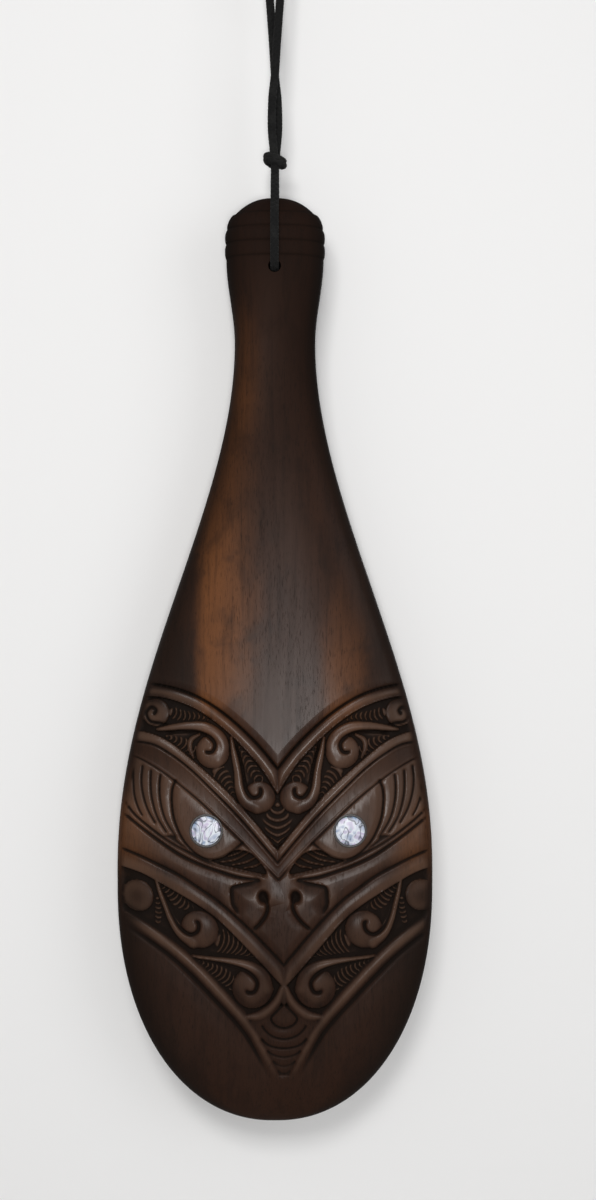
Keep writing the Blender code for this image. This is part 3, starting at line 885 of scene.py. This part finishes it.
wood, wood_shader, where = new_finish(
    "stained_wood", **{"Specular IOR Level": 0.07, "Coat Roughness": 0.25, "Coat IOR": 1.45}
)
grain = where.stretched(1.0, 1.0, 0.055).noise(430.0, 4.0, 0.6, 0.4)
figure = where.stretched(1.0, 1.0, 0.16).noise(42.0, 3.0, 0.55, 0.6)
patch = where.stretched(1.0, 1.0, 0.45).noise(30.0, 2.0, 0.5)
blotch = where.stretched(1.0, 1.0, 0.7).noise(75.0, 3.0, 0.6, 0.5)
pores = where.stretched(1.0, 1.0, 0.11).noise(2700.0, 2.0, 0.5)
pore_mask = pores.span(0.54, 0.70) * patch.span(0.25, 0.5)
recess = where.mark("recess")
# The crests' mark: rubbed wear and a painted highlight
worn = where.mark("worn")

# Where the stain is thin or heavy, and where light and shade are painted: the lighter streaks on the left are
# partly painted light, the dark band at the left edge and the darkening towards the tip are painted shade.
# Each place is a soft edge, from and to, in metres across or along the club
HANDLE_STREAK_SIDE = (-0.017, 0.013)
HANDLE_STREAK_TOP = (0.015, 0.06)
HANDLE_STREAK_FOOT = (0.06, 0.13)
LEFT_STREAK_OUTER = (-0.037, -0.027)
LEFT_STREAK_INNER = (-0.024, 0.003)
LEFT_STREAK_TOP = (0.05, 0.15)
RIGHT_STREAK_INNER = (0.012, 0.026)
RIGHT_STREAK_OUTER = (0.032, 0.044)
RIGHT_STREAK_TOP = (0.11, 0.19)
STREAKS_FOOT = (0.19, 0.235)
CHEEK_OUTER = (0.040, 0.058)
CHEEK_TOP = (0.23, 0.25)
CHEEK_FOOT = (0.258, 0.28)
DARK_BUTT_FOOT = (0.05, 0.16)
# Painted shade: the blade is made darker towards the tip
PAINTED_SHADE_TIP_TOP = (0.245, 0.325)
# Painted shade: a dark band along the left side of the blade, above the carving
SHADED_EDGE_SIDE = (-0.041, -0.029)
SHADED_EDGE_TOP = (0.09, 0.15)
SHADED_EDGE_FOOT = (0.19, 0.22)

across = where.part(0) + (patch - 0.5) * PATCH_WANDER + (blotch - 0.5) * BLOTCH_WANDER
along = BUTT_TOP_Z - where.part(2)
# The handle's left side is lighter: thin stain, and painted light on the lit side
handle_streak = (1 - across.span(*HANDLE_STREAK_SIDE)) * along.stretch(HANDLE_STREAK_TOP, HANDLE_STREAK_FOOT)
# The blade's left streak is partly painted light, where the left side is lit
left_streak = across.stretch(LEFT_STREAK_OUTER, LEFT_STREAK_INNER) * along.span(*LEFT_STREAK_TOP)
right_streak = across.stretch(RIGHT_STREAK_INNER, RIGHT_STREAK_OUTER) * along.span(*RIGHT_STREAK_TOP)
blade_streaks = (left_streak * 1.15 + right_streak * 0.65) * (1 - along.span(*STREAKS_FOOT))
cheek = across.math("ABSOLUTE", across).span(*CHEEK_OUTER) * along.stretch(CHEEK_TOP, CHEEK_FOOT)
# Thin stain, with painted light on the left side
thin_stain_and_light = handle_streak * 0.8 + blade_streaks + cheek * 0.6
dark_butt = (1 - handle_streak * 0.6) * (1 - along.span(*DARK_BUTT_FOOT) * 0.85)
# Heavy stain on the butt and handle, and painted shade darkening the blade towards the tip
heavy_stain_and_shade = dark_butt + along.span(*PAINTED_SHADE_TIP_TOP) * 0.40
# Painted shade: the dark band along the blade's left edge
shaded_left_edge = (1 - across.span(*SHADED_EDGE_SIDE)) * along.stretch(SHADED_EDGE_TOP, SHADED_EDGE_FOOT)
# Darker edges: stain and painted shade, with the painted shade of the left edge
rim = where.math("MAXIMUM", where.mark("rim"), shaded_left_edge * 0.9)

# The colours from the stain up, with the painted light, shade and highlight in them, then the oil's gloss
# How red the wood is: thin stain and painted light raise it, heavy stain and painted shade lower it
bare = (thin_stain_and_light * 0.75 + patch.span(0.35, 0.75) * 0.34 - heavy_stain_and_shade * 0.35).span(0.1, 1.0)
tone = bare.tint(BROWN, RED_BROWN)
for colour, cover in (
    (GREY_BROWN, figure.span(0.2, 0.85) * 0.28),
    # Heavy stain on the butt and handle, and painted shade towards the tip
    (DARK_STAIN, heavy_stain_and_shade * 0.94),
    (DARK_STAIN, blotch.span(0.48, 0.72) * 0.45),
    (NEAR_BLACK, grain.span(0.44, 0.74) * 0.34),
    (NEAR_BLACK, pore_mask * 0.45),
    # Darker edges: stain, and painted shade
    (NEAR_BLACK, rim * 0.75),
    # Lighter crests: rubbed wear and a painted highlight
    (RUBBED_AND_HIGHLIGHT, worn.span(0.1, 0.9) * 0.24),
    # Near black in the cuts and seams: stain, and painted shade
    (NEAR_BLACK, recess.span(0.05, 0.85) * 0.9),
):
    tone = tone.mixed(colour, cover)
tone.to(wood_shader, "Base Color")
(0.36 + grain * 0.10 + recess * 0.30 + heavy_stain_and_shade * 0.34 - worn * 0.04).to(wood_shader, "Roughness")
where.bump(grain * 0.3 - pore_mask * 0.2, 0.25, 0.0004).to(wood_shader, "Normal")
polish = (1 - recess.span(0.0, 0.6)) * (1 - heavy_stain_and_shade * 1.15)
polish = polish * (1 - grain.span(0.35, 0.7) * 0.12) * (1 - pore_mask * 0.4)
(polish * (0.30 + worn * 0.26)).span(0.0, 1.0).to(wood_shader, "Coat Weight")
club.data.materials.clear()
club.data.materials.append(wood)

# The front and the back lie side by side on the texture, each seen square on
TEXTURE_MARGIN = 0.01
corner = np.empty(len(club.data.loops), np.int32)
club.data.loops.foreach_get("vertex_index", corner)
corner_counts = [polygon.loop_total for polygon in club.data.polygons]
turned_back = np.repeat([polygon.normal.y > 0 for polygon in club.data.polygons], corner_counts)
low, high = place.min(0), place.max(0)
share_across = (place[corner, 0] - low[0]) / (high[0] - low[0])
share_up = (place[corner, 2] - low[2]) / (high[2] - low[2])
texture_across = TEXTURE_MARGIN + (0.5 - 2 * TEXTURE_MARGIN) * share_across + 0.5 * turned_back
texture_up = TEXTURE_MARGIN + (1 - 2 * TEXTURE_MARGIN) * share_up
texture_place = np.column_stack([texture_across, texture_up]).astype(np.float32)
club.data.uv_layers.new(name="OFBake").data.foreach_set("uv", texture_place.ravel())
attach(club, "club")
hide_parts("club_body")

# Shell eyes
# Each eye is a polished disc of pearly shell, slightly domed. It is bedded in dark glue, in a pocket of the
# wood, and the glue shows as a thin ring.
SHELL_DOME = 0.00018
SHELL_BEVEL = 0.00025
SHELL_RINGS = 12
GLUE_LIP = 0.00012
GLUE_OVERLAP = 0.00025
GLUE_GAP = 0.00008
GLUE_FLOOR = 0.0003
EYE_SHARP_ANGLE = math.radians(50)
PEARL_STOPS = [
    (0.30, (0.20, 0.29, 0.42, 1.0)),
    (0.42, (0.42, 0.46, 0.57, 1.0)),
    (0.52, (0.66, 0.71, 0.76, 1.0)),
    (0.62, (0.47, 0.41, 0.57, 1.0)),
    (0.74, (0.26, 0.46, 0.44, 1.0)),
]
VEIN = (0.06, 0.07, 0.10, 1.0)
VEIN_TURNS = 18.0
GLUE_BLACK = (0.008, 0.007, 0.007, 1.0)
GLUE_BROWN = (0.03, 0.022, 0.02, 1.0)

shell, shell_shader, where = new_finish(
    "pearly_shell", **{"Specular IOR Level": 0.25, "Coat Weight": 0.12, "Coat Roughness": 0.2}
)
flow = where.stretched(1.0, 1.0, 0.8).noise(150.0, 2.0, 0.45, 0.9)
hue = where.noise(260.0, 1.5, 0.5, 0.7)
pearl = hue.node("ShaderNodeValToRGB", {"stops": PEARL_STOPS}, {"Fac": hue})
contour = flow.math("ABSOLUTE", flow.math("SINE", flow * VEIN_TURNS))
pearl.mixed(VEIN, (1 - contour.span(0.0, 0.6)) * 0.95).to(shell_shader, "Base Color")
(0.26 + flow * 0.16).to(shell_shader, "Roughness")
where.bump(flow, 0.3, 0.0002).to(shell_shader, "Normal")

glue, glue_shader, where = new_finish("dark_glue")
smear = where.noise(900.0, 3.0)
smear.tint(GLUE_BLACK, GLUE_BROWN).to(glue_shader, "Base Color")
(0.28 + smear * 0.3).to(glue_shader, "Roughness")


def eye_piece(name, profile, centre, finish):
    """A turned piece of an eye, smooth but for its edges."""
    obj = bm_object(name, turned(profile, centre))
    obj.data.shade_smooth()
    obj.data.set_sharp_from_angle(angle=EYE_SHARP_ANGLE)
    obj.data.materials.append(finish)
    return obj


for side in ("left", "right"):
    low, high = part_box(f"eye_shell_{side}")
    centre = (low + high) / 2
    radius = (high.x - low.x) / 2 - GLUE_OVERLAP
    front, back = low.y - centre.y, high.y - centre.y
    shares = [ring / SHELL_RINGS for ring in range(1, SHELL_RINGS + 1)]
    profile = [(share * (radius - SHELL_BEVEL), front - SHELL_DOME * (1 - share**2)) for share in shares]
    profile.append((radius - SHELL_BEVEL * 0.3, front + SHELL_BEVEL * 0.3))
    profile += [(radius, front + SHELL_BEVEL), (radius, back)]
    disc = eye_piece(f"shell_eye_{side}", profile, centre, shell)
    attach(disc, "club")
    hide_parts(f"eye_shell_{side}")

    low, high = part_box(f"eye_glue_{side}")
    inner = radius + GLUE_GAP
    outer = (high.x - low.x) / 2
    bottom = high.y - centre.y
    profile = [
        (inner * 0.5, bottom - GLUE_FLOOR),
        (inner, bottom - GLUE_FLOOR),
        (inner, front - GLUE_LIP * 0.3),
        ((inner + outer) / 2, front - GLUE_LIP),
        (outer, front - GLUE_LIP * 0.2),
        (outer, bottom),
        (inner * 0.5, bottom),
    ]
    bed = eye_piece(f"glue_bed_{side}", profile, centre, glue)
    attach(bed, "club")
    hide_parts(f"eye_glue_{side}")

# Wrist cord
# One length of matte black round braid. It goes through the hole in the butt and up both faces to a tight
# knot, and from the knot two strands rise, cross once and part to a loop over a peg above.
CORD_DIAMETER = 0.0032
CORD_RADIUS = CORD_DIAMETER / 2
BRAID_PITCH = 0.0026
BRAID_STRANDS = 4
BRAID_DEPTH = 0.11
BRAID_BULGE = 1.6
CORD_SIDES = 24
CORD_RING_STEP = 0.00026
ROUTE_STEPS = 40
FIRST_ACROSS = (0.31, 0.87, 0.38)
CORD_CLEARANCE = 0.00017
PAIR_OFFSET = CORD_RADIUS + 0.00015
KNOT_LOW, KNOT_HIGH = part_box("cord_knot")
KNOT = (KNOT_LOW + KNOT_HIGH) / 2
KNOT_MARGIN = 0.0003
CROWN_RADIUS = 0.0064
CROSSING_ABOVE_KNOT = 0.0344
INTO_KNOT = 0.0030
YARN_BLACK = (0.003, 0.003, 0.003, 1.0)
YARN_GREY = (0.012, 0.012, 0.012, 1.0)
DUST = (0.024, 0.024, 0.023, 1.0)

braid, braid_shader, where = new_finish("black_braid", **{"Sheen Weight": 0.04, "Specular IOR Level": 0.15})
fibre = where.noise(2600.0, 3.0, 0.6)
dust = where.noise(140.0, 2.0)
black = fibre.tint(YARN_BLACK, YARN_GREY).mixed(DUST, dust.span(0.5, 0.75) * 0.35)
black.to(braid_shader, "Base Color")
(0.78 + fibre * 0.2).to(braid_shader, "Roughness")
where.bump(fibre, 0.5, 0.0002).to(braid_shader, "Normal")


def between(low, high, share):
    return low + (high - low) * share


def smooth_route(points, step):
    """Points an even step apart along a smooth curve through a cord's own points, and its length."""
    fine = smooth_curve(np.array(points, float), ROUTE_STEPS)
    run = np.concatenate([[0], np.cumsum(np.linalg.norm(np.diff(fine, axis=0), axis=1))])
    even = np.linspace(0, run[-1], max(4, int(run[-1] / step)))
    return np.column_stack([np.interp(even, run, fine[:, axis]) for axis in range(3)]), run[-1]


def braided(name, points, radius=CORD_RADIUS):
    """A round braid along a route, as one closed tube, with its route and length."""
    route, length = smooth_route(points, CORD_RING_STEP)
    heading = np.gradient(route, axis=0)
    heading /= np.linalg.norm(heading, axis=1)[:, None]
    across = np.cross(heading[0], FIRST_ACROSS)
    across /= np.linalg.norm(across)
    angles = np.linspace(0, math.tau, CORD_SIDES, endpoint=False)
    cosines, sines = np.cos(angles)[:, None], np.sin(angles)[:, None]
    rings = []
    run = np.linspace(0, length, len(route))
    for centre, ahead, along in zip(route, heading, run):
        across = across - ahead * (across @ ahead)
        across /= np.linalg.norm(across)
        up = np.cross(ahead, across)
        turn = math.tau * along / BRAID_PITCH
        over = np.cos(BRAID_STRANDS * angles + turn)
        under = np.cos(BRAID_STRANDS * angles - turn)
        bulge = np.maximum(over, under)
        size = radius * (1 - BRAID_DEPTH + BRAID_DEPTH * BRAID_BULGE * bulge)
        rings.append(centre + size[:, None] * (cosines * across + sines * up))
    count = len(rings)
    vertices = np.concatenate([*rings, route[:1], route[-1:]])
    step = np.arange(CORD_SIDES)
    following = (step + 1) % CORD_SIDES
    faces = [
        (i * CORD_SIDES + a, i * CORD_SIDES + b, (i + 1) * CORD_SIDES + b, (i + 1) * CORD_SIDES + a)
        for i in range(count - 1)
        for a, b in zip(step, following)
    ]
    first, last = count * CORD_SIDES, count * CORD_SIDES + 1
    end_ring = (count - 1) * CORD_SIDES
    faces += [(first, b, a) for a, b in zip(step, following)]
    faces += [(last, end_ring + a, end_ring + b) for a, b in zip(step, following)]
    mesh = bpy.data.meshes.new(name)
    mesh.from_pydata(vertices.tolist(), [], faces)
    mesh.shade_smooth()
    mesh.materials.append(braid)
    return added(name, mesh), route, length


def on_wood(d, slant=0.0):
    """Where the cord's middle lies when it rests on the butt, with more room on the sloping dome."""
    return float(half_thickness(np.array(d))) + CORD_RADIUS + CORD_CLEARANCE + slant


# The sling through the hole
knot_foot = KNOT_LOW.z - KNOT_MARGIN
bend = 2.5 * CORD_RADIUS
stand_off = on_wood(DOME_HEIGHT + 2.5 * BAND_HEIGHT)
front = [
    (PAIR_OFFSET, knot_foot + INTO_KNOT),
    (PAIR_OFFSET, knot_foot),
    (PAIR_OFFSET * 1.3, knot_foot - CORD_DIAMETER * 0.8),
    (between(PAIR_OFFSET, on_wood(DOME_HEIGHT * 0.5, 0.0009), 0.55), between(knot_foot, BUTT_TOP_Z, 0.72)),
    (on_wood(DOME_HEIGHT * 0.5, 0.0009), BUTT_TOP_Z - DOME_HEIGHT * 0.5),
    (on_wood(DOME_HEIGHT * 1.15, 0.0006), BUTT_TOP_Z - DOME_HEIGHT * 1.15),
    (on_wood(DOME_HEIGHT + BAND_HEIGHT * 0.9, 0.0005), BUTT_TOP_Z - DOME_HEIGHT - BAND_HEIGHT * 0.9),
    (stand_off, BUTT_TOP_Z - DOME_HEIGHT - BAND_HEIGHT * 1.6),
    (stand_off, HOLE.z + bend * 1.6),
    (stand_off - bend * 0.22, HOLE.z + bend * 0.42),
    (stand_off - bend * 1.02, HOLE.z),
    (BUTT_HALF_THICK * 0.45, HOLE.z),
]
sling_points = [(0, -y, z) for y, z in front] + [(0, y, z) for y, z in reversed(front)]
sling, sling_route, sling_length = braided("cord_sling", sling_points)
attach(sling, "cord")
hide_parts("cord_lower")

# The wrist loop
knot_head = KNOT_HIGH.z + KNOT_MARGIN
crossing = KNOT.z + CROSSING_ABOVE_KNOT
crown = CORD_RADIUS - CROWN_RADIUS
parted = between(crossing, crown, 0.45)
rise = [
    (-PAIR_OFFSET * 0.30, -PAIR_OFFSET * 0.98, knot_head - INTO_KNOT),
    (-PAIR_OFFSET * 0.30, -PAIR_OFFSET * 0.98, knot_head),
    (-PAIR_OFFSET * 0.72, -PAIR_OFFSET * 0.74, between(knot_head, crossing, 0.3)),
    (-PAIR_OFFSET * 0.58, -PAIR_OFFSET * 0.88, between(knot_head, crossing, 0.68)),
    (0, -PAIR_OFFSET * 1.08, crossing),
    (PAIR_OFFSET * 0.52, -PAIR_OFFSET * 0.88, between(crossing, parted, 0.35)),
    (CROWN_RADIUS * 0.45, 0, parted),
    (CROWN_RADIUS * 0.82, 0, between(parted, crown, 0.6)),
    (CROWN_RADIUS, 0, crown),
    (CROWN_RADIUS * 0.71, 0, crown + CROWN_RADIUS * 0.71),
]
loop_points = rise + [(0, 0, crown + CROWN_RADIUS)] + [(-x, -y, z) for x, y, z in reversed(rise)]
loop, loop_route, loop_length = braided("wrist_loop", loop_points)
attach(loop, "cord")
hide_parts("cord_loop")

# The knot: two tight slanting turns round the strands, drawn down on themselves
KNOT_RING = (KNOT_HIGH.x - KNOT_LOW.x) / 2 - CORD_RADIUS * 0.95
KNOT_FLATNESS = 0.92
KNOT_SLANT = 0.46
KNOT_TURNS = 2.1
KNOT_CLIMB = 0.0030
KNOT_START = 1.2
KNOT_CORD_RADIUS = CORD_RADIUS * 0.98
TURN_POINTS = 16
wrap_points = []
for turn in range(round(KNOT_TURNS * TURN_POINTS) + 1):
    angle = math.tau * turn / TURN_POINTS + KNOT_START
    climb = (turn / (KNOT_TURNS * TURN_POINTS) - 0.5) * KNOT_CLIMB
    x = KNOT_RING * math.cos(angle)
    wrap_points.append((x, KNOT_RING * KNOT_FLATNESS * math.sin(angle), KNOT.z - KNOT_SLANT * x + climb))
wrap, _, _ = braided("cord_knot_turn", wrap_points, KNOT_CORD_RADIUS)
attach(wrap, "cord")
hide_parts("cord_knot")

# Stage
# A pale wall close behind the club, seen only from its front, a pale floor below, and soft studio light.
# The camera looks square on, from the height of the middle of the photograph.
WALL_Y = 0.0205
WALL_HALF = 3
WALL_WHITE = (0.84, 0.84, 0.84, 1)
FLOOR_Z = -1.3
FLOOR_HALF = 12
FLOOR_WHITE = (0.74, 0.735, 0.725, 1)
WORLD_STRENGTH = 0.32
VIEW_DISTANCE = 0.75
VIEW_HEIGHT_MM = 480.0
SENSOR_MM = 36.0
CLUB_MIDDLE = Vector((0, 0, -0.32))
# Each lamp: its name, place, size in metres, watts and colour
SOFTBOXES = (
    ("key", (-0.12, -0.95, 0.14), (0.34, 0.34), 4.6, (1.0, 0.99, 0.98)),
    ("front", (0.03, -1.10, -0.42), (0.15, 0.15), 3.6, (1.0, 0.99, 0.98)),
    ("fill", (0.9, -0.9, -0.1), (0.7, 0.9), 2.2, (0.97, 0.98, 1.0)),
    ("rear", (0.3, 2.4, 0.1), (1.6, 1.0), 18.0, (1.0, 1.0, 1.0)),
)
SQUARE = ((-1, -1), (1, -1), (1, 1), (-1, 1))


def plane(name, corners, colour):
    mesh = bpy.data.meshes.new(name)
    mesh.from_pydata(corners, [], [(0, 1, 2, 3)])
    obj = added(name, mesh)
    material, shader, where = new_finish(name, **{"Base Color": colour, "Roughness": 0.9})
    mesh.materials.append(material)
    return obj, material, where


wall_corners = [(x * WALL_HALF, WALL_Y, z * WALL_HALF) for x, z in SQUARE]
wall, wall_material, where = plane("wall", wall_corners, WALL_WHITE)
tree = wall_material.node_tree
behind = where.node("ShaderNodeNewGeometry", output=6)
clear = where.node("ShaderNodeBsdfTransparent")
solid = Wire(tree, tree.nodes["Principled BSDF"].outputs[0])
one_sided = where.node("ShaderNodeMixShader", None, {0: behind, 1: solid, 2: clear})
one_sided.to(tree.nodes["Material Output"], "Surface")
wall.visible_diffuse = False
wall.visible_glossy = False
wall.visible_transmission = False
wall.visible_shadow = False
plane("floor", [(x * FLOOR_HALF, y * FLOOR_HALF, FLOOR_Z) for x, y in SQUARE], FLOOR_WHITE)

world = bpy.data.worlds.new("studio")
bpy.context.scene.world = world
world.use_nodes = True
background = world.node_tree.nodes["Background"]
background.inputs["Color"].default_value = (1.0, 1.0, 1.0, 1)
background.inputs["Strength"].default_value = WORLD_STRENGTH

for name, spot, size, power, colour in SOFTBOXES:
    lamp = bpy.data.lights.new(name, "AREA")
    lamp.shape = "RECTANGLE"
    lamp.size, lamp.size_y = size
    lamp.energy = power
    lamp.color = colour
    softbox = added(name, lamp)
    softbox.location = spot
    softbox.rotation_euler = (CLUB_MIDDLE - Vector(spot)).to_track_quat("-Z", "Y").to_euler()

camera_data = bpy.data.cameras.new("camera")
camera_data.sensor_width = SENSOR_MM
camera_data.lens = SENSOR_MM * VIEW_DISTANCE * 1000 / VIEW_HEIGHT_MM
camera = added("camera", camera_data)
camera.location = (SIGHT_ACROSS_MM / 1000, -VIEW_DISTANCE, BUTT_TOP_Z - SIGHT_MM / 1000)
camera.rotation_euler = (math.pi / 2, 0, 0)
bpy.context.scene.camera = camera
bpy.context.scene.view_settings.view_transform = "Standard"
